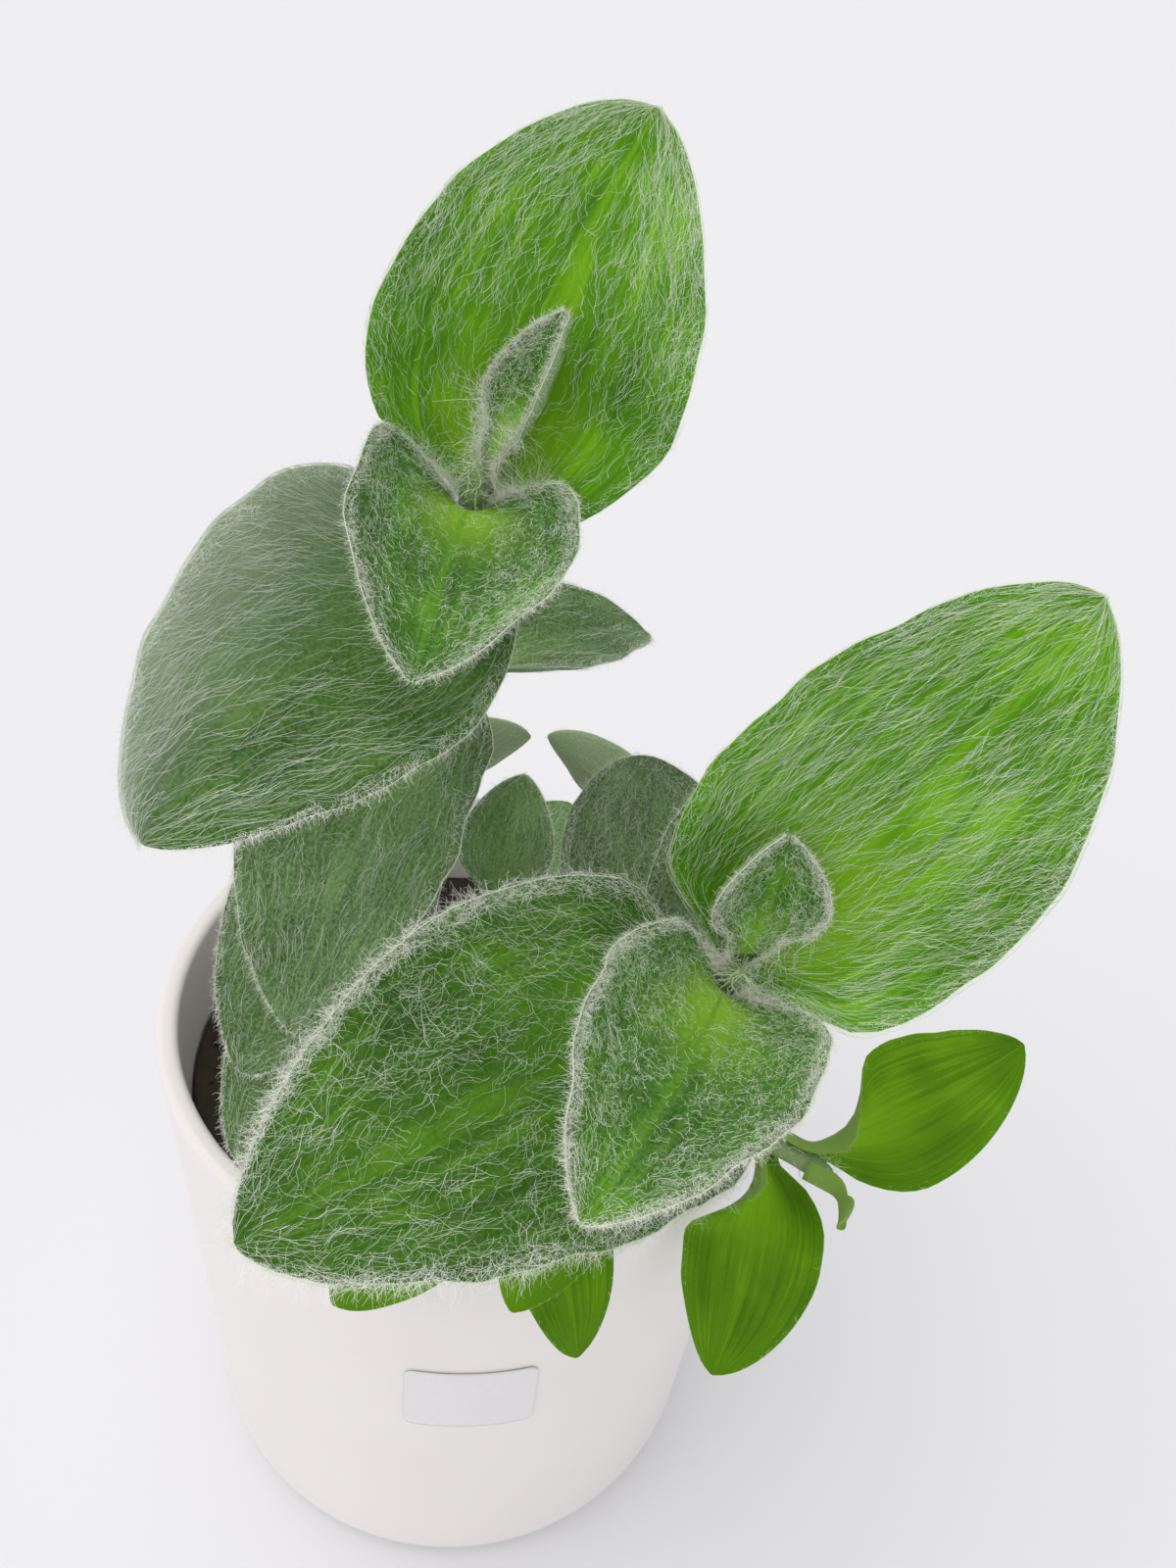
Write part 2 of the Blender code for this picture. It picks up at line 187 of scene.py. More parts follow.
# pot: stoneware with a satin white glaze, dipped and fired, so soft broad highlights and an even wall
potShape = dict(height=125.0, rimRadius=60.0, footRadius=55.0, footRound=10.0, wall=4.0, floor=6.0,
                rimRound=1.6, sides=192, footSteps=14, wallSteps=14, rimSteps=7, floorSteps=6,
                glaze="#f9f4f1", glazeThin="#f4eeea", roughness=0.34)


def outerRadius(height):
    shape = potShape
    return shape["footRadius"] + (shape["rimRadius"] - shape["footRadius"]) * height / shape["height"]


def innerRadius(height):
    return outerRadius(height) - potShape["wall"]


def glazedCeramic(shape):
    material, tree, shader = newMaterial("glazedCeramic", {
        "Roughness": shape["roughness"], "IOR": 1.5, "Coat Weight": 0.25, "Coat Roughness": 0.18,
        "Subsurface Weight": 0.06, "Subsurface Scale": 0.002})
    place = addNode(tree, "ShaderNodeTexCoord").outputs["Object"]
    clouds = noise(tree, place, 35.0, 3.0)    # 30 mm across
    colour = mixColours(tree, clouds, linear(shape["glaze"]), linear(shape["glazeThin"]))
    peel = noise(tree, place, 500.0, 2.0)    # the glaze's faint orange peel, 2 mm across
    dress(tree, shader, colour, peel, 0.08, 0.0002)
    return material


def makePot(shape):
    height, footRound, rimRound = shape["height"], shape["footRound"], shape["rimRound"]
    innerRound = footRound - shape["wall"]
    footMiddle = (outerRadius(footRound) - footRound, footRound)
    floorMiddle = (innerRadius(shape["floor"] + innerRound) - innerRound, shape["floor"] + innerRound)
    outer = np.linspace(footRound, height - rimRound, shape["wallSteps"])[1:-1]
    inner = np.linspace(height - rimRound, floorMiddle[1], shape["wallSteps"])[1:-1]
    profile = [(footRound, 0.0)] + arc(footMiddle, footRound, -90, 0, shape["footSteps"])
    profile += [(outerRadius(h), h) for h in outer]
    profile += arc((shape["rimRadius"] - rimRound, height - rimRound), rimRound, 0, 90, shape["rimSteps"])
    profile += arc((innerRadius(height) + rimRound, height - rimRound), rimRound, 90, 180, shape["rimSteps"])
    profile += [(innerRadius(h), h) for h in inner]
    profile += arc(floorMiddle, innerRound, 0, -90, shape["floorSteps"])
    points, faces = turnedShape(profile, shape["sides"])
    newPiece("pot_glazed", points, faces, glazedCeramic(shape), ["pot"])


makePot(potShape)
print("pot turned")


# sticker: thin coated paper with rounded corners, bare, a little cooler and flatter than the glaze
stickerShape = dict(width=24.5, height=21.0, thickness=0.25, corner=1.8, azimuth=167.5, middle=79.0,
                    gap=0.25, columns=32, rows=24, paper="#f3f1f1", paperFibre="#edebec")


def coatedPaper(shape):
    material, tree, shader = newMaterial("coatedPaper", {"Roughness": 0.55, "IOR": 1.45})
    place = addNode(tree, "ShaderNodeTexCoord").outputs["Object"]
    fibres = noise(tree, place, 900.0, 4.0)    # 1 mm across
    colour = mixColours(tree, fibres, linear(shape["paper"]), linear(shape["paperFibre"]))
    dress(tree, shader, colour, fibres, 0.1, 0.0001)
    return material


def makeSticker(shape):
    columns, rows = shape["columns"], shape["rows"]
    halfWidth, halfHeight, corner = shape["width"] / 2, shape["height"] / 2, shape["corner"]
    u, v = np.meshgrid(np.linspace(-1, 1, columns + 1), np.linspace(-1, 1, rows + 1))
    across = halfWidth * np.sin(u * math.pi / 2)
    past = np.maximum(0.0, np.abs(across) - (halfWidth - corner))
    reach = halfHeight - corner + np.sqrt(np.maximum(corner ** 2 - past ** 2, 0.01))
    height = shape["middle"] + reach * v
    lift = shape["gap"] + shape["thickness"] * np.array([1.0, 0.0])[:, None, None]
    radius = outerRadius(height)[None] + lift
    angle = math.radians(shape["azimuth"]) - across[None] / radius
    heights = np.broadcast_to(height, radius.shape)
    points = np.stack([radius * np.sin(angle), radius * np.cos(angle), heights], -1)
    index = np.arange(2 * u.size).reshape(2, rows + 1, columns + 1)
    front, back = index
    quads = [np.stack([front[:-1, :-1], front[:-1, 1:], front[1:, 1:], front[1:, :-1]], -1).reshape(-1, 4),
             np.stack([back[:-1, :-1], back[1:, :-1], back[1:, 1:], back[:-1, 1:]], -1).reshape(-1, 4)]
    edge = np.concatenate([index[:, 0, :-1], index[:, :-1, -1], index[:, -1, :0:-1], index[:, :0:-1, 0]],
                          axis=1)
    around = np.roll(edge, -1, axis=1)
    quads.append(np.stack([edge[0], edge[1], around[1], around[0]], -1))
    newPiece("sticker_bare", points.reshape(-1, 3), [np.concatenate(quads)], coatedPaper(shape),
             ["sticker"])


makeSticker(stickerShape)
print("sticker laid on")


# soil: peat and bark crumbs, dark, dull and damp
soilShape = dict(top=105.0, relief=1.6, bumps=26, bumpWidths=(6, 14), seed=7, sides=160, rings=60,
                 wallGap=0.6, grit=(-0.45, 0.35), crumbs=420, crumbSizes=(0.9, 3.4), crumbLumps=0.22,
                 peat="#2c261f", bark="#4a4034", dust="#6a6152")


def peatSoil(shape):
    material, tree, shader = newMaterial("peatSoil", {"Roughness": 0.92, "IOR": 1.4})
    place = addNode(tree, "ShaderNodeTexCoord").outputs["Object"]
    lumps = noise(tree, place, 220.0, 5.0)    # 4 mm across
    grains = addNode(tree, "ShaderNodeTexVoronoi", {"Vector": place, "Scale": 900.0}).outputs[0]    # 1 mm
    colour = mixColours(tree, lumps, linear(shape["peat"]), linear(shape["bark"]))
    dusty = ramp(tree, grains, 0.1, 0.0, 0.5, "LINEAR")
    colour = mixColours(tree, dusty, colour, linear(shape["dust"]))
    dress(tree, shader, colour, lumps, 0.8, 0.001)
    return material


def soilHeight(x, y, shape):
    draw = random.Random(shape["seed"])
    bumps = [(draw.uniform(-50, 50), draw.uniform(-50, 50), draw.uniform(*shape["bumpWidths"]),
              draw.uniform(-1, 1)) for _ in range(shape["bumps"])]
    lift = sum(size * np.exp(-((x - bx) ** 2 + (y - by) ** 2) / wide ** 2) for bx, by, wide, size in bumps)
    return shape["top"] + shape["relief"] * lift


def makeSoilBed(shape, material, draw):
    sides, edge = shape["sides"], innerRadius(shape["top"]) - shape["wallGap"]
    angles = np.linspace(0, 2 * math.pi, sides, endpoint=False)
    shares = np.linspace(1, 0.02, shape["rings"]) ** 0.8    # of the radius, from the wall to the middle
    x = edge * shares[:, None] * np.cos(angles)
    y = edge * shares[:, None] * np.sin(angles)
    z = soilHeight(x, y, shape) + draw.uniform(*shape["grit"], x.shape)
    # radius and height of the rings below, which keep off the pot's floor and its inner round
    below = [(innerRadius(6) - 7, 6.6), (innerRadius(12) - 1, 13.0), (edge, shape["top"] - 4)]
    rings = [np.stack([r * np.cos(angles), r * np.sin(angles), np.full(sides, h)], -1) for r, h in below]
    points = np.concatenate([np.array(rings).reshape(-1, 3), np.stack([x, y, z], -1).reshape(-1, 3)])
    faces = ringFaces(shape["rings"] + len(below), sides)
    newPiece("soil_bed", points, faces, material, ["soil"])


def makeCrumbs(shape, material, draw):    # loose crumbs half sunk in the top, each a lumpy ball
    mesh, ball = bpy.data.meshes.new("crumb"), bmesh.new()
    bmesh.ops.create_icosphere(ball, subdivisions=2, radius=1.0)
    ball.to_mesh(mesh)
    ball.free()
    ballPoints = np.array([v.co[:] for v in mesh.vertices])
    ballFaces = np.array([p.vertices[:] for p in mesh.polygons])
    bpy.data.meshes.remove(mesh)
    reach = innerRadius(shape["top"]) - shape["wallGap"] - 3
    smallest, largest = shape["crumbSizes"]
    everyPoint, everyFace = [], []
    for i in range(shape["crumbs"]):
        distance, angle = reach * math.sqrt(draw.uniform(0, 1)), draw.uniform(0, 2 * math.pi)
        x, y = distance * math.cos(angle), distance * math.sin(angle)
        size = (smallest + (largest - smallest) * draw.uniform() ** 3) / 2
        squeeze = draw.uniform(0.55, 1.25, 3)
        turn = np.linalg.qr(draw.normal(size=(3, 3)))[0]
        waves = np.sin(ballPoints @ draw.normal(size=(3, 2)) * 3 + draw.uniform(0, 6, 2)).sum(1)
        lumps = 1 + shape["crumbLumps"] * waves
        body = (ballPoints * lumps[:, None] * squeeze * size) @ turn
        everyPoint.append(body + (x, y, float(soilHeight(x, y, shape)) + 0.25 * size))
        everyFace.append(ballFaces + i * len(ballPoints))
    newPiece("soil_crumbs", np.concatenate(everyPoint), [np.concatenate(everyFace)], material,
             ["soil"])


def makeSoil(shape):
    material, draw = peatSoil(shape), np.random.default_rng(shape["seed"])
    makeSoilBed(shape, material, draw)
    makeCrumbs(shape, material, draw)


makeSoil(soilShape)
print("soil filled in")


# the plant: a blade's cuticle is given by `look`, and its hairs by `coat`
def leaf(below, azimuth, rise, length, width, look, coat, **others):
    spec = dict(below=below, azimuth=azimuth, rise=rise, length=length, width=width, look=look, coat=coat,
                curl=25, cup=25, roll=0, full=0.75, clasp=70, held=0.3, lobes=(0, 0), facets=4, wool=0)
    spec.update(others)
    return spec


# below is the node's distance under the stem's tip; curl bends the blade down along its length, cup folds its
# halves up, roll turns it about its length, and full sets how near the base it is widest. clasp is the half
# angle of the sheath, and held the share of the blade over which that fold opens into the cup. lobes is how
# far the base reaches back on its right and on its left, and wool the number of hairs at the sheath's mouth
# the lower leaves take the shaded, moss and dim looks, whose darker, greyer colours are painted shade
stems = {
    "a": dict(radii=(2.7, 1.8),
              route=[(-14, 6, 107), (-13, 0, 140), (-8, -6, 180), (-3, -14, 218), (0, -21, 248)],
              leaves=[leaf(0.5, 82, 68, 18, 12.5, "felted", "bud", curl=-15, cup=75, full=0.7, clasp=50,
                           wool=500),
                      leaf(8, 179, -5, 34, 35, "felted", "felt", curl=42, cup=60, roll=-10, clasp=72,
                           held=0.7, lobes=(7, 2), facets=6, wool=1300),
                      leaf(12, 45, 64, 53, 42, "fresh", "cobweb", curl=40, cup=28, roll=22, full=0.78,
                           clasp=46, facets=6, wool=500),
                      leaf(17, 208, -15, 57, 41, "silvered", "long", curl=42, cup=28, roll=-28, full=0.7,
                           facets=6),
                      leaf(38, 201, -48, 58, 40, "shadedMoss", "thin", curl=45, cup=30, roll=25, full=0.9),
                      leaf(46, 35, -16, 42, 22, "shadedMoss", "thin", curl=30, cup=40),
                      leaf(57, 298, -12, 34, 26, "shaded", "few", curl=35),
                      leaf(65, 213, -46, 56, 33, "shadedMoss", "thin", curl=35),
                      leaf(88, 330, -10, 24, 20, "shaded", "few", curl=30),
                      leaf(96, 203, -31, 54, 28, "shadedMoss", "thin", curl=40)]),
    "b": dict(radii=(2.7, 1.8),
              route=[(12, -9, 107), (19, -22, 135), (28, -41, 168), (37, -57, 195), (42.2, -65.7, 211.4)],
              leaves=[leaf(0.5, 40, 78, 14, 16.5, "felted", "bud", curl=-10, cup=55, clasp=50, held=0.5,
                           wool=150),
                      leaf(5, 195, 17, 47, 30, "felted", "felt", curl=32, cup=52, roll=15, full=0.85,
                           clasp=60, held=0.7, lobes=(2, 6), facets=6, wool=700),
                      leaf(9, 60, 52, 61, 43, "fresh", "combed", curl=42, cup=14, roll=16, full=0.82,
                           clasp=50, facets=6),
                      leaf(15, 220, 8, 65, 45, "deep", "tangled", curl=42, cup=25, roll=18, full=0.76,
                           facets=6),
                      leaf(31, 39, 36, 50, 35, "shadedDim", "thin", curl=35),
                      leaf(49, 357, 6, 50, 33, "shadedDim", "thin", curl=30),
                      leaf(57, 190, -16, 40, 22, "smooth", "bare", curl=55)]),
    "c": dict(radii=(2.4, 1.7),
              route=[(30, -16, 107), (38, -20, 124), (51, -26, 133), (66, -32, 133)],
              leaves=[leaf(0.5, 185, 10, 6, 6, "smooth", "bare", cup=60, clasp=55),
                      leaf(8, 60, 18, 40, 27, "smooth", "bare", curl=15, roll=-65),
                      leaf(16, 186, -48, 37, 25, "smooth", "bare", curl=25, roll=68),
                      leaf(26, 20, 25, 30, 22, "smooth", "bare", roll=-50)]),
    "d": dict(radii=(2.2, 1.6),
              route=[(6, -30, 107), (10, -36, 122), (15, -43, 141)],
              leaves=[leaf(2, 148, -44, 33, 18, "smooth", "bare", curl=55),
                      leaf(10.5, 224, -26, 34, 20, "smooth", "bare", curl=55),
                      leaf(19, 100, 20, 20, 16, "smooth", "few"),
                      leaf(22, 240, 15, 24, 16, "smooth", "few", curl=30)]),
    "e": dict(radii=(2.2, 1.5),
              route=[(2, 20, 107), (2, 14, 125), (2, 7, 142)],
              leaves=[leaf(4, 10, 60, 22, 20, "shaded", "thin", curl=15, cup=40),
                      leaf(9, 185, 35, 20, 15, "shaded", "thin", curl=25, cup=40),
                      leaf(18, 15, 12, 30, 22, "shaded", "few")]),
    "f": dict(radii=(2.4, 1.6),
              route=[(24, 24, 107), (29, 35, 124), (36, 48, 132), (43, 60, 129)],
              leaves=[leaf(4, 110, 5, 24, 16, "shaded", "thin", cup=35, roll=-30),
                      leaf(9, 275, -5, 20, 17, "shaded", "few", roll=30),
                      leaf(17, 115, 5, 40, 27, "shaded", "thin", roll=-30),
                      leaf(27, 300, 24, 32, 22, "shaded", "few", roll=30)]),
    "g": dict(radii=(2.4, 1.6),
              route=[(-22, 26, 107), (-27, 37, 124), (-34, 49, 132), (-41, 60, 129)],
              leaves=[leaf(4, 245, 5, 26, 17, "shaded", "thin", cup=35, roll=30),
                      leaf(9, 60, -5, 20, 17, "shaded", "few", roll=-30),
                      leaf(17, 240, 5, 38, 26, "shaded", "thin", roll=30),
                      leaf(27, 50, 12, 34, 24, "shaded", "few", roll=-30)]),
}

# in shares of its length, a blade opens out of the sheath within openShare, its roll is complete at rollShare
# and its lobes fade out at lobeReach
leafShape = dict(sheath=4.0, bend=4.5, sheathThickness=0.8, middleThickness=1.3, marginThickness=0.7,
                 marginRound=0.45, claspClearance=0.45, tipHalfWidth=0.45, tightestFold=1.3,
                 baseShare=0.06, outlinePower=0.62, openShare=0.12, rollShare=0.35, lobeReach=0.6,
                 lobePower=1.4, groove=0.28, grooveWidth=1.1, wave=0.45, rowStep=1.6, around=36)
stemShape = dict(foot=88.0, sides=20, ringStep=1.5, budLength=4.0, nodeSwell=0.14, nodeLength=1.6,
                 downAbove=107, downPerRing=14, downLengths=(1.2, 3.4), downWidth=0.09)


def stemLine(route, steps=10):
    ends = np.array(route, float)
    upright = np.array([0, 0, 2 * np.linalg.norm(ends[1] - ends[0])])
    ends = np.vstack([ends[1] - upright, ends, 2 * ends[-1] - ends[-2]])
    line = [(route[0][0], route[0][1], stemShape["foot"])]
    for i in range(len(ends) - 3):
        before, here, there, after = ends[i:i + 4]
        for t in np.arange(steps) / steps:
            line.append(0.5 * (2 * here + (there - before) * t
                               + (2 * before - 5 * here + 4 * there - after) * t ** 2
                               + (3 * here - before - 3 * there + after) * t ** 3))
    line.append(ends[-2])
    return np.array(line)


def runOf(line):
    return np.concatenate([[0.0], np.cumsum(np.linalg.norm(np.diff(line, axis=0), axis=1))])


def pointOn(line, distance):
    run = runOf(line)
    return np.stack([np.interp(distance, run, line[:, axis]) for axis in range(3)], -1)


def halfWidth(spec, x):
    rising = (leafShape["baseShare"] + (1 - leafShape["baseShare"]) * np.clip(x, 0, 1)) ** spec["full"]
    return spec["width"] / 2 * np.maximum(0.0, np.sin(math.pi * rising)) ** leafShape["outlinePower"]


# the form of one leaf, at any distance from its node and any share across it, from -1 to 1
class Blade:
    def __init__(self, stem, spec, seed):
        shape, line = leafShape, stemLine(stem["route"])
        self.spec = spec
        draw = np.random.default_rng(seed)
        self.phases, self.waveLength = draw.uniform(0, 2 * math.pi, 4), draw.uniform(13, 19)
        foot, tip = stem["radii"]
        whole = runOf(line)[-1]
        node = whole - spec["below"]
        start = pointOn(line, node)
        self.up = unit(pointOn(line, node + shape["sheath"]) - start)
        azimuth, rise = math.radians(spec["azimuth"]), math.radians(spec["rise"])
        level = math.cos(rise)
        aim = np.array([math.sin(azimuth) * level, math.cos(azimuth) * level, math.sin(rise)])
        self.out = unit(aim - (aim @ self.up) * self.up)
        self.across = np.cross(self.up, -self.out)
        self.clasp = math.radians(spec["clasp"])
        clear = foot + (tip - foot) * node / whole + shape["claspClearance"] + shape["sheathThickness"] / 2
        self.sheathRadius = clear / math.cos(self.clasp / spec["facets"])
        lean = math.atan2(aim @ self.out, aim @ self.up)
        self.first = lean - math.radians(spec["curl"]) / 2
        self.last = lean + math.radians(spec["curl"]) / 2
        self.base = shape["sheath"] + shape["bend"]
        self.whole = self.base + spec["length"]
        self.fine = np.linspace(0, self.whole, 241)
        steps = np.diff(self.fine)[:, None]
        angle = self.angleAt((self.fine[1:] + self.fine[:-1]) / 2)[:, None]
        moves = (np.cos(angle) * self.up + np.sin(angle) * self.out) * steps
        self.path = start + self.out * self.sheathRadius + np.vstack([np.zeros(3), np.cumsum(moves, axis=0)])

    def angleAt(self, distance):
        early = self.first * ease((distance - leafShape["sheath"]) / leafShape["bend"])
        late = self.first + (self.last - self.first) * (distance - self.base) / self.spec["length"]
        return np.where(distance <= self.base, early, late)

    # half width, half angle of the fold, middle, axes along, across and up, and how far the lobes reach back
    def rowsAt(self, distance):
        spec, shape = self.spec, leafShape
        x = (distance - self.base) / spec["length"]
        grow = ease((distance - shape["sheath"]) / (shape["bend"] + shape["openShare"] * spec["length"]))
        claspHalf = self.sheathRadius * self.clasp
        half = np.maximum(claspHalf + (halfWidth(spec, x) - claspHalf) * grow, shape["tipHalfWidth"])
        fold = self.clasp + (math.radians(spec["cup"]) - self.clasp) * ease(x / spec["held"])
        fold = np.minimum(fold, half / shape["tightestFold"])
        angle = self.angleAt(distance)[..., None]
        turn = (math.radians(spec["roll"]) * ease(x / shape["rollShare"]))[..., None]
        along = np.cos(angle) * self.up + np.sin(angle) * self.out
        facing = np.cross(self.across, along)
        top = np.cos(turn) * facing + np.sin(turn) * self.across
        wise = np.cos(turn) * self.across - np.sin(turn) * facing
        middle = np.stack([np.interp(distance, self.fine, self.path[:, axis]) for axis in range(3)], -1)
        return half, fold, middle, along, wise, top, grow * (1 - ease(x / shape["lobeReach"]))

    def at(self, distance, share):    # points, normals to the upper side and directions across
        half, fold, middle, along, wise, top, back = self.rowsAt(distance)
        radius, turn = (half / fold)[..., None], (fold * share)[..., None]
        back = back * np.where(share > 0, *self.spec["lobes"]) * np.abs(share) ** leafShape["lobePower"]
        points = middle + radius * (np.sin(turn) * wise + (1 - np.cos(turn)) * top) - back[..., None] * along
        return points, np.cos(turn) * top - np.sin(turn) * wise, np.cos(turn) * wise + np.sin(turn) * top

    def surface(self, distance, share, side):    # side is 1 for the upper face and -1 for the underside
        shape = leafShape
        points, normals, outwards = self.at(distance, share)
        opened = ease((distance - shape["sheath"]) / (shape["bend"] + 8))
        closing = ease((self.whole - distance) / 8)
        thin, margin = shape["sheathThickness"], shape["marginThickness"]
        middle = thin + (shape["middleThickness"] - thin) * opened * closing
        thick = margin + (middle - margin) * (1 - share ** 2)
        rounded = np.minimum(1.0, np.sqrt(np.maximum(1 - share ** 2, 0)) / shape["marginRound"])
        blade = ease((distance - self.base) / 8) * ease((self.whole - distance) / 12)
        half = self.rowsAt(distance)[0]
        groove = shape["groove"] * blade * np.exp(-(share * half / shape["grooveWidth"]) ** 2)
        long, phases = 2 * math.pi * distance / self.waveLength, self.phases
        left = np.sin(long + phases[0]) + 0.5 * np.sin(2.3 * long + phases[1])
        right = np.sin(1.1 * long + phases[2]) + 0.5 * np.sin(2.1 * long + phases[3])
        wave = shape["wave"] * blade * np.abs(share) ** 3 * np.where(share < 0, left, right)
        wave = wave * min(1.0, self.spec["width"] / 40)
        lift = side * thick / 2 * rounded - groove + wave
        return points + normals * lift[..., None], normals, outwards


# leaf cuticle: living leaf, waxy and slightly translucent, over long parallel veins. Each look is
# (dark, middle, light) flesh, the colour of the underside, of the margin, of the thin base that light shines
# through, how much short down greys it, and how wide the pale cord of the margin is, as a share of the blade.
# The shaded, moss and dim looks are darker, greyer copies for the lower leaves: painted shade of the leaves
# above them
leafLooks = {
    "fresh": dict(flesh=("#3f7600", "#569400", "#7cb80c"), under="#8fb064", margin="#c6d8a4", glow="#8fc40e",
                  down=0.02, cord=0.012),
    "deep": dict(flesh=("#2a5500", "#3b6c00", "#568a08"), under="#7b9a5c", margin="#e9ecdc", glow="#5f9c10",
                 down=0.04, cord=0.016),
    "felted": dict(flesh=("#2f6000", "#407700", "#629c0c"), under="#8aa874", margin="#f2f1e2", glow="#93c71a",
                   down=0.08, cord=0.024),
    # the silvered look's right side gets a painted sheen, silvery light off its thickest down
    "silvered": dict(flesh=("#2c5606", "#3c6a10", "#557f28"), under="#90a880", margin="#f1f2e6",
                     glow="#5f9024", down=0.1, cord=0.018, paintedSheen=0.75),
    "shaded": dict(flesh=("#47692f", "#5b8140", "#789b58"), under="#8fa57c", margin="#e6eadb", glow="#87aa55",
                   down=0.16, cord=0.018),
    "shadedMoss": dict(flesh=("#35561c", "#45692a", "#628544"), under="#85a070", margin="#eceee0", glow="#6f9440",
                  down=0.14, cord=0.022),
    "shadedDim": dict(flesh=("#33501f", "#42612c", "#577640"), under="#7b9168", margin="#cbd4bd", glow="#5c7d3c",
                down=0.14, cord=0.014),
    "smooth": dict(flesh=("#4c7800", "#5a8c00", "#70a40c"), under="#87a852", margin="#b3cc74", glow="#86bd12",
                   down=0.01, cord=0.008),
}


def leafCuticle(name, look):
    material, tree, shader = newMaterial(name, {
        "Roughness": 0.6, "IOR": 1.42, "Subsurface Weight": 0.25, "Subsurface Scale": 0.0012,
        "Subsurface Radius": (0.6, 1.0, 0.25), "Specular IOR Level": 0.12})
    surface = addNode(tree, "ShaderNodeUVMap", uv_map="surface").outputs[0]
    axes = addNode(tree, "ShaderNodeSeparateXYZ", {0: surface})
    # from 0 at the left margin to 1 at the right and on to 2 under the blade, and from 0 at the base to 1
    around, upwards = axes.outputs[0], axes.outputs[1]
    fromMiddle = calculate(tree, "SUBTRACT", calculate(tree, "PINGPONG", around, 1.0), 0.5)
    outwards = calculate(tree, "ABSOLUTE", fromMiddle)    # 0 on the midrib, 0.5 at the margins
    place = addNode(tree, "ShaderNodeTexCoord").outputs["Object"]
    # parallel veins about 1.5 mm apart, drawn as streaks that close up towards base and tip with the blade
    stretched = addNode(tree, "ShaderNodeVectorMath", {0: surface, 1: (46.0, 2.2, 1.0)}, operation="MULTIPLY")
    streaks = noise(tree, stretched.outputs[0], 1.0, 3.0)
    patches = noise(tree, place, 75.0, 2.0)    # 13 mm across
    tone = calculate(tree, "ADD", streaks, patches)
    dark, middle, light = (linear(colour) for colour in look["flesh"])
    flesh = mixColours(tree, ramp(tree, tone, 1.0, 0.72), middle, dark)
    flesh = mixColours(tree, ramp(tree, tone, 1.0, 1.28), flesh, light)
    # the middle of the base is thin and bright, and the midrib is a fine pale line
    glowing = calculate(tree, "MULTIPLY", ramp(tree, upwards, 0.62, 0.2), ramp(tree, outwards, 0.24, 0.02))
    flesh = mixColours(tree, glowing, flesh, linear(look["glow"]))
    flesh = mixColours(tree, ramp(tree, outwards, 0.014, 0.004, 0.6), flesh, light)
    underside = calculate(tree, "GREATER_THAN", around, 1.0)
    colour = mixColours(tree, underside, flesh, linear(look["under"]))
    # down too short and fine to model, as a mottle 0.5 mm across
    mottle = noise(tree, place, 1900.0, 3.0, 0.7)
    downy = ramp(tree, mottle, 0.38, 0.66, 2 * look["down"], "LINEAR")
    colour = mixColours(tree, downy, colour, linear("#c4d4b4"))
    # painted sheen: the right side of the upper face is painted silvery, for the light glancing off the down
    # that lies thickest there
    sided = ramp(tree, around, 0.42, 0.95, look.get("paintedSheen", 0.0))
    paintedSheen = calculate(tree, "MULTIPLY", sided, calculate(tree, "LESS_THAN", around, 1.0))
    colour = mixColours(tree, paintedSheen, colour, linear("#b3c2a9"))
    edge = ramp(tree, outwards, 0.49 - look["cord"], 0.498 - look["cord"] / 2)
    colour = mixColours(tree, edge, colour, linear(look["margin"]))
    dress(tree, shader, colour, calculate(tree, "ADD", streaks, mottle), 0.35, 0.0004)
    return material


cuticles = {look: leafCuticle("leafCuticle_" + look, values) for look, values in leafLooks.items()}


# stem: pale green and juicy with fine ribs along it, so it looks soft and a little streaky
def stemSkin():
    material, tree, shader = newMaterial("stemSkin", {
        "Roughness": 0.55, "IOR": 1.42, "Subsurface Weight": 0.2, "Subsurface Scale": 0.0015})
    place = addNode(tree, "ShaderNodeTexCoord").outputs["Object"]
    longways = addNode(tree, "ShaderNodeVectorMath", {0: place, 1: (1400.0, 1400.0, 90.0)},
                       operation="MULTIPLY")
    ribs = noise(tree, longways.outputs[0], 1.0, 3.0)    # 0.7 mm wide and 11 mm long
    colour = mixColours(tree, ribs, linear("#6f8f4a"), linear("#a3b884"))
    dress(tree, shader, colour, ribs, 0.3, 0.0003)
    return material


# hairs: fine, clear, cottony threads that scatter white light. Each has a shade of its own between a greener
# one, as if the leaf shone through, and a whiter one, and those of the margins have the fringe's colour
def cottonHair(name, greener, whiter, fringe):
    material, tree, shader = newMaterial(name, {"Roughness": 0.6, "IOR": 1.45, "Specular IOR Level": 0.15,
                                                "Sheen Weight": 0.7, "Sheen Roughness": 0.6})
    surface = addNode(tree, "ShaderNodeUVMap", uv_map="surface").outputs[0]
    # the hair's number, from 0 to 1 on the blade and from 2 to 3 in the fringe
    number = addNode(tree, "ShaderNodeSeparateXYZ", {0: surface}).outputs[0]
    colour = mixColours(tree, number, linear(greener), linear(whiter))
    colour = mixColours(tree, calculate(tree, "GREATER_THAN", number, 1.0), colour, linear(fringe))
    tree.links.new(colour, shader.inputs["Base Color"])
    return material


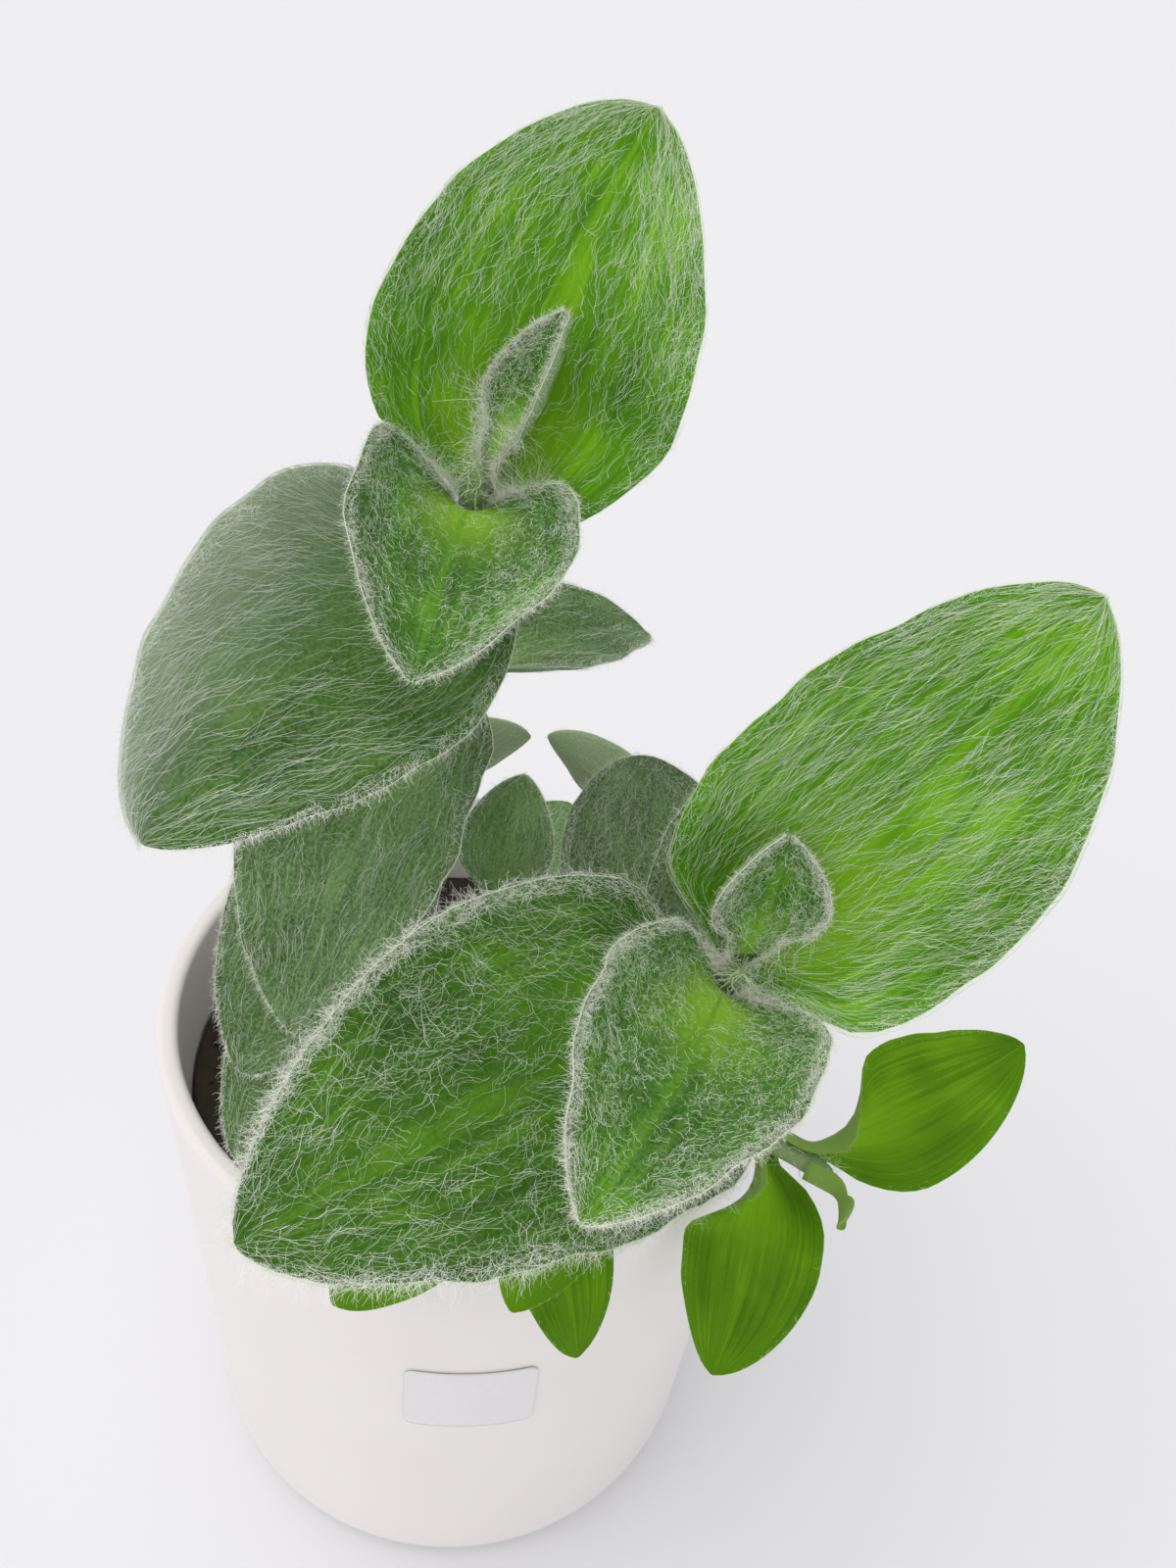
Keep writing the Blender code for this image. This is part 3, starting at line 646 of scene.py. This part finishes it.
# the hairs of the shaded, moss and dim looks are greyer than white: painted shade, like their leaves
hairColours = {
    "fresh": ("#a6d26c", "#fafdf2", "#fbfcf2"),
    "deep": ("#92bd72", "#f8fcf2", "#faf9f0"),
    "felted": ("#a0cc7c", "#f8fbf1", "#fcfaf0"),
    "silvered": ("#b8cfa8", "#f5f8f0", "#fbfaf2"),
    "shaded": ("#98b082", "#e0e8d6", "#f1f2e6"),
    "shadedMoss": ("#94b07a", "#e6eddc", "#f7f7ee"),
    "shadedDim": ("#7f986a", "#c4d0b6", "#dfe4d4"),
    "smooth": ("#95b850", "#d2e2a8", "#e0e9c4"),
}
hairLooks = {look: cottonHair("cottonHair_" + look, *colours) for look, colours in hairColours.items()}

# Hair counts are for each square centimetre of blade, fringe counts for each centimetre of margin. Real hairs
# are about 0.03 mm thick. These are drawn about one and a half times as wide, and those of the stems three
# times, so that they show. fan turns the hairs out towards the margins, in degrees, and lean to one side, and
# spread, swirl, wander and kink ruffle them. tipwards and edgewards crowd them, bend is how much the fringe
# curls, lock is how many lie together, and loose how far apart they are
plainCoat = dict(lean=0, lift=0.4, tipwards=1.0, edgewards=1.3, width=0.05, lock=2, loose=0.3, sided=0)
coats = {
    "cobweb": dict(hairs=150, length=3.6, fan=14, spread=20, swirl=12, wander=14, kink=13, lift=0.35,
                   tipwards=2.3, edgewards=1.7, fringe=90, fringeLength=1.3, under=16, width=0.043, bend=5,
                   lock=1, loose=0.25),
    "combed": dict(hairs=165, length=4.8, fan=16, lean=16, spread=13, swirl=5, wander=8, kink=8, lift=0.28,
                   tipwards=1.1, edgewards=1.2, fringe=100, fringeLength=1.2, under=16, width=0.042, bend=4,
                   lock=1, loose=0.25),
    "tangled": dict(hairs=120, length=3.9, fan=34, spread=34, swirl=14, wander=17, kink=16, fringe=330,
                    fringeLength=2.6, under=30, width=0.043, bend=7, lock=1),
    "long": dict(hairs=120, length=7.5, fan=12, lean=24, spread=12, swirl=8, wander=8, kink=7, tipwards=1.2,
                 edgewards=1.5, fringe=230, fringeLength=1.6, under=30, width=0.046, bend=5, lock=1,
                 sided=0.75),
    "felt": dict(hairs=300, length=2.2, fan=40, spread=60, swirl=40, wander=30, kink=36, edgewards=1.7,
                 fringe=500, fringeLength=1.4, under=60, bend=9, loose=0.4),
    "bud": dict(hairs=560, length=2.0, fan=20, spread=50, swirl=40, wander=30, kink=38, edgewards=1.6,
                fringe=440, fringeLength=1.1, under=220, bend=9, loose=0.4),
    "thin": dict(hairs=60, length=4.2, fan=16, spread=18, swirl=14, wander=12, kink=14, lift=0.45,
                 fringe=120, fringeLength=1.4, under=22, bend=6),
    "few": dict(hairs=26, length=3.8, fan=16, spread=18, swirl=16, wander=12, kink=14, lift=0.45, fringe=40,
                fringeLength=1.3, under=12, bend=6),
    "bare": dict(hairs=0, length=3.0, fan=0, spread=10, swirl=10, wander=20, kink=10, lift=0.3,
                 edgewards=1.0, fringe=14, fringeLength=0.8, under=0, bend=4),
}
coats = {name: dict(plainCoat, **values) for name, values in coats.items()}


# outline is the blade's area in square centimetres for each square millimetre of length times width, kept
# about the share of the hairs that surfaceHairs keeps, margins both margins' length for each of the leaf's,
# laid the share of the fringe along the margin, and wool the shortest and longest hair at the sheath's mouth
hairShape = dict(outline=0.0072, kept=0.62, margins=2.2, laid=0.55, wool=(2.0, 7.0))


# each strand of points becomes a narrow ribbon that faces off the surface, turned a little at random
def ribbons(strands, facing, widths, numbers, draw):
    count, steps = strands.shape[:2]
    along = unit(np.gradient(strands, axis=1))
    side = unit(np.cross(along, facing))
    turn = draw.uniform(-0.6, 0.6, (count, 1, 1))
    side = np.cos(turn) * side + np.sin(turn) * np.cross(along, side)
    taper = np.linspace(1.0, 0.45, steps)[None, :, None]
    reach = side * taper * (widths / 2)[:, None, None]
    points = np.stack([strands - reach, strands + reach], axis=2).reshape(-1, 3)
    start = (np.arange(count)[:, None] * steps + np.arange(steps - 1)) * 2
    quads = np.stack([start, start + 1, start + 3, start + 2], -1).reshape(-1, 4)
    t = np.broadcast_to(np.linspace(0, 1, steps), (count, steps))
    corner = np.stack([t[:, :-1], t[:, :-1], t[:, 1:], t[:, 1:]], -1)
    number = np.broadcast_to(numbers[:, None, None], corner.shape)
    return points, quads, np.stack([number, corner], -1).reshape(-1, 2)


# hairs that stand off a root in a direction, wander and hang a little
def freeHairs(roots, directions, lengths, steps, curl, droop, draw):
    count = len(roots)
    points, heading = [roots], directions
    bias = draw.normal(size=(count, 3)) * curl * 0.5
    for _ in range(steps):
        heading = unit(heading + bias + draw.normal(size=(count, 3)) * curl + np.array([0, 0, -droop]))
        points.append(points[-1] + heading * (lengths / steps)[:, None])
    return np.stack(points, 1)


# hairs that lie over the blade, laid in locks; side is 1 on the upper face and -1 on the underside
def surfaceHairs(blade, coat, count, side, draw, steps=5):
    locks = max(1, count // coat["lock"])
    share = draw.uniform(0, 1, locks) ** (1 / coat["tipwards"])
    distance = leafShape["sheath"] + (blade.whole - leafShape["sheath"]) * share * 0.99
    across = draw.choice([-1.0, 1.0], locks) * draw.uniform(0, 1, locks) ** (1 / coat["edgewards"])
    # keep more of them where the blade is wide, so that the cover is even, and on the side that has more
    half = blade.rowsAt(distance)[0]
    kept = draw.uniform(0, 1, locks) < half / half.max() * (1 + coat["sided"] * across) / (1 + coat["sided"])
    distance, across = (np.repeat(values[kept], coat["lock"]) for values in (distance, across))
    number = len(distance)
    half = blade.rowsAt(distance)[0]
    distance = distance + draw.normal(0, 0.8, number)
    across = np.clip(across + draw.normal(0, coat["loose"], number) / half, -1, 1)
    lockTurn = np.repeat(draw.normal(0, coat["spread"], kept.sum()), coat["lock"])
    waves = draw.uniform(0.25, 0.7, (4, 2)) * draw.choice([-1, 1], (4, 2))
    phases = draw.uniform(0, 2 * math.pi, 4)
    wander, wanderPhase = draw.uniform(0.6, 1.3, number), draw.uniform(0, 2 * math.pi, number)
    lengths = coat["length"] * draw.uniform(0.45, 1.35, number)
    lengths = np.minimum(lengths, np.maximum(blade.whole - distance, 0) + 0.8)    # none trail off the tip
    lift = coat["lift"] * draw.uniform(0.35, 1.5, number)
    strand, facing = [], []
    step = lengths / steps
    for k in range(steps + 1):
        half, _, _, along, *_ = blade.rowsAt(np.clip(distance, 0, blade.whole))
        across = np.clip(across, -1 - 0.4 / half, 1 + 0.4 / half)    # hardly past the margins
        inside = np.clip(across, -1, 1)
        points, normals, outwards = blade.surface(np.clip(distance, 0, blade.whole), inside, side)
        over = ((across - inside) * half)[:, None] * outwards
        ahead = np.maximum(distance - blade.whole, 0)[:, None] * along
        t = k / steps
        rise = 0.03 + lift * t ** 0.7 * (1.25 - t)
        strand.append(points + over + ahead + side * normals * rise[:, None]
                      - np.array([0, 0, 0.5]) * np.linalg.norm(over + ahead, axis=1)[:, None])
        facing.append(side * normals)
        swirl = sum(np.sin(distance * a + across * half * b + p) for (a, b), p in zip(waves, phases)) / 2
        angle = coat["lean"] + coat["fan"] * across + coat["swirl"] * swirl + lockTurn
        angle = angle + coat["wander"] * np.sin(wanderPhase + 2 * math.pi * wander * t)
        angle = angle + draw.normal(0, coat["kink"], number)
        turn = np.radians(angle)
        distance = distance + step * np.cos(turn)
        across = across + step * np.sin(turn) / np.maximum(half, 2.0)
    return np.stack(strand, 1), np.stack(facing, 1), draw.uniform(0.6, 1.3, number) * coat["width"]


# hairs that stand out from the margins, some of them laid along the margin as a cottony cord
def fringeHairs(blade, coat, count, draw, steps=4):
    margin = draw.choice([-1.0, 1.0], count)
    distance = draw.uniform(leafShape["sheath"] * 0.3, blade.whole, count)
    share = margin * draw.uniform(0.9, 1.0, count)
    points, normals, outwards = blade.surface(distance, share, 1)
    along = blade.rowsAt(distance)[3]
    laid = draw.uniform(0, 1, (count, 1)) < hairShape["laid"]
    heading = unit(outwards * margin[:, None] * np.where(laid, 0.15, 1.0)
                   + along * draw.normal(0.45, 0.35, (count, 1)) * np.where(laid, 3.0, 1.0)
                   + normals * draw.normal(0.15, 0.5, (count, 1)))
    lengths = coat["fringeLength"] * draw.uniform(0.4, 1.4, count)
    strands = freeHairs(points, heading, lengths, steps, 0.06 * coat["bend"], 0.12, draw)
    return strands, normals[:, None], draw.uniform(0.6, 1.2, count) * coat["width"]


# wool round the mouth of the sheath, where the leaves of a young shoot stand close
def nodeWool(blade, coat, count, draw, steps=4):
    distance = draw.uniform(leafShape["sheath"] * 0.6, blade.base + 3, count)
    share = draw.choice([-1.0, 1.0], count) * draw.uniform(0.75, 1.0, count)
    points, normals, outwards = blade.surface(distance, share, 1)
    heading = unit(outwards * np.sign(share)[:, None] + blade.up + draw.normal(0, 0.6, (count, 3)))
    lengths = draw.uniform(*hairShape["wool"], count)
    strands = freeHairs(points, heading, lengths, steps, 0.5, 0.05, draw)
    return strands, normals[:, None], draw.uniform(0.6, 1.2, count) * coat["width"]


def makeHairs(tag, blade, spec, seed):
    shape, coat, draw = hairShape, coats[spec["coat"]], np.random.default_rng(seed)
    area = spec["length"] * spec["width"] * shape["outline"]
    edge = shape["margins"] * blade.whole / 10
    # each group with the number at which its hairs' own numbers start
    groups = [(2.0, fringeHairs(blade, coat, int(coat["fringe"] * edge) + 1, draw))]
    if spec["wool"]:
        groups.append((2.0, nodeWool(blade, coat, spec["wool"], draw)))
    for key, side in (("hairs", 1), ("under", -1)):
        if coat[key]:
            count = int(coat[key] * area / shape["kept"])
            groups.append((0.0, surfaceHairs(blade, coat, count, side, draw)))
    points, quads, uvs, offset = [], [], [], 0
    for start, (strands, facing, widths) in groups:
        numbers = start + draw.uniform(0, 1, len(strands))
        somePoints, someQuads, someUvs = ribbons(strands, facing, widths, numbers, draw)
        points.append(somePoints)
        quads.append(someQuads + offset)
        uvs.append(someUvs)
        offset += len(somePoints)
    newPiece("hair_" + tag + "_hairs", np.concatenate(points), [np.concatenate(quads)],
             hairLooks[spec["look"]], ["leaf_" + tag], np.concatenate(uvs))


def makeBlade(tag, blade, spec):
    shape, around = leafShape, leafShape["around"]
    rows = max(18, int(spec["length"] / shape["rowStep"]))
    ends = np.linspace(0, 1, rows + 1)
    distance = np.concatenate([[0, 1.3, 2.7], np.linspace(shape["sheath"], blade.base, 6)[:-1],
                               blade.base + spec["length"] * (1 - (1 - ends) ** 1.25)])
    turn = np.linspace(0, 2 * math.pi, around, endpoint=False)
    share = -np.cos(turn)    # from the left margin over the upper face and back under it
    grid = np.broadcast_to(distance[:, None], (len(distance), around))
    shares = np.broadcast_to(share, grid.shape)
    points = blade.surface(grid, shares, np.sign(np.round(np.sin(turn), 6)))[0]
    count = len(distance)
    column = np.arange(around)
    u = np.stack([column, column, column + 1, column + 1], -1) * 2 / around
    v = distance / blade.whole
    u = np.broadcast_to(u, (count - 1, around, 4))
    v = np.broadcast_to(np.stack([v[:-1], v[1:], v[1:], v[:-1]], -1)[:, None], u.shape)
    uvs = np.stack([u, v], -1).reshape(-1, 2)
    capUvs = np.stack([np.linspace(0, 2, around), np.zeros(around)], -1)
    uvs = np.concatenate([uvs, capUvs, capUvs[::-1] + (0, 1)])
    newPiece("blade_" + tag, points.reshape(-1, 3), ringFaces(count, around, mirrored=True),
             cuticles[spec["look"]], ["leaf_" + tag], uvs)


def makeStem(tag, stem, material):
    shape = stemShape
    line = stemLine(stem["route"])
    whole = runOf(line)[-1]
    foot, tip = stem["radii"]
    distance = np.linspace(0, whole, int(whole / shape["ringStep"]))
    middle = pointOn(line, distance)
    radius = foot + (tip - foot) * distance / whole
    for spec in stem["leaves"]:
        radius = radius * (1 + shape["nodeSwell"] * np.exp(-((distance - whole + spec["below"])
                                                             / shape["nodeLength"]) ** 2))
    ahead = unit(line[-1] - line[-2])
    bud = np.linspace(0, 1, 7)[1:]
    middle = np.vstack([middle, line[-1] + ahead * (shape["budLength"] * bud)[:, None]])
    radius = np.concatenate([radius, tip * np.sqrt(1 - (0.98 * bud) ** 2)])
    along = unit(np.gradient(middle, axis=0))
    side = np.array([1.0, 0.0, 0.0])
    turn = np.linspace(0, 2 * math.pi, shape["sides"], endpoint=False)
    rings, sides = [], []
    for centre, size, direction in zip(middle, radius, along):
        side = unit(side - (side @ direction) * direction)
        other = np.cross(direction, side)
        ring = np.cos(turn)[:, None] * side + np.sin(turn)[:, None] * other
        sides.append(ring)
        rings.append(centre + size * ring)
    points, sides = np.array(rings), np.array(sides)
    around = shape["sides"]
    name = "stem_" + tag
    newPiece(name + "_skin", points.reshape(-1, 3), ringFaces(len(rings), around), material, [name])
    # down on the part above the soil
    draw = np.random.default_rng(ord(tag))
    shown = np.nonzero(middle[:, 2] > shape["downAbove"])[0]
    number = len(shown) * shape["downPerRing"]
    row, column = draw.choice(shown, number), draw.integers(0, around, number)
    heading = unit(sides[row, column] + 0.5 * along[row] + draw.normal(0, 0.3, (number, 3)))
    lengths = draw.uniform(*shape["downLengths"], number)
    strands = freeHairs(points[row, column], heading, lengths, 4, 0.3, 0.1, draw)
    widths, numbers = np.full(number, shape["downWidth"]), draw.uniform(0, 1, number)
    hairs, quads, uvs = ribbons(strands, along[row][:, None], widths, numbers, draw)
    newPiece(name + "_hairs", hairs, [quads], hairLooks["felted"], [name], uvs)


stemMaterial = stemSkin()
for key, stem in stems.items():
    makeStem(key, stem, stemMaterial)
    for number, spec in enumerate(stem["leaves"], 1):
        tag = key + str(number)
        seed = 100 * (ord(key) - ord("a") + 1) + number
        blade = Blade(stem, spec, seed)
        makeBlade(tag, blade, spec)
        makeHairs(tag, blade, spec, seed + 50)
    print("shoot", key, "grown")


# floor and studio light: a pale seamless table under a bright room, with hardly any shadow
studio = dict(floor="#f0f0f2", floorPatches="#f0f0f3", floorHalf=6.0, world="#f0f0f4", worldStrength=0.74,
              lamp="#fffdf8", sun=1.2, sunFrom=(-0.35, -0.25, 1.0),
              sunSpread=75.0)    # degrees: as wide as a soft box that fills much of the ceiling


def makeStage(values):
    material, tree, shader = newMaterial("seamlessPaper", {"Roughness": 0.9, "Specular IOR Level": 0.1})
    place = addNode(tree, "ShaderNodeTexCoord").outputs["Object"]
    patches = noise(tree, place, 3.0, 2.0)    # 300 mm across
    colour = mixColours(tree, patches, linear(values["floor"]), linear(values["floorPatches"]))
    tree.links.new(colour, shader.inputs["Base Color"])
    mesh, size = bpy.data.meshes.new("floor"), values["floorHalf"]    # metres
    corners = [(-size, -size, 0), (size, -size, 0), (size, size, 0), (-size, size, 0)]
    mesh.from_pydata(corners, [], [(0, 1, 2, 3)])
    mesh.materials.append(material)
    floor = bpy.data.objects.new("floor", mesh)
    scene.collection.objects.link(floor)


def makeLight(values):
    data = bpy.data.lights.new("ceiling", "SUN")
    data.energy, data.angle = values["sun"], math.radians(values["sunSpread"])
    data.color = linear(values["lamp"])[:3]
    light = bpy.data.objects.new("ceiling", data)
    light.rotation_euler = Vector(values["sunFrom"]).to_track_quat("Z", "Y").to_euler()
    scene.collection.objects.link(light)


makeStage(studio)
makeLight(studio)
world = bpy.data.worlds.new("studio")
world.use_nodes = True
background = world.node_tree.nodes["Background"]
background.inputs[0].default_value = linear(studio["world"])
background.inputs[1].default_value = studio["worldStrength"]
scene.world = world
print("lights up")
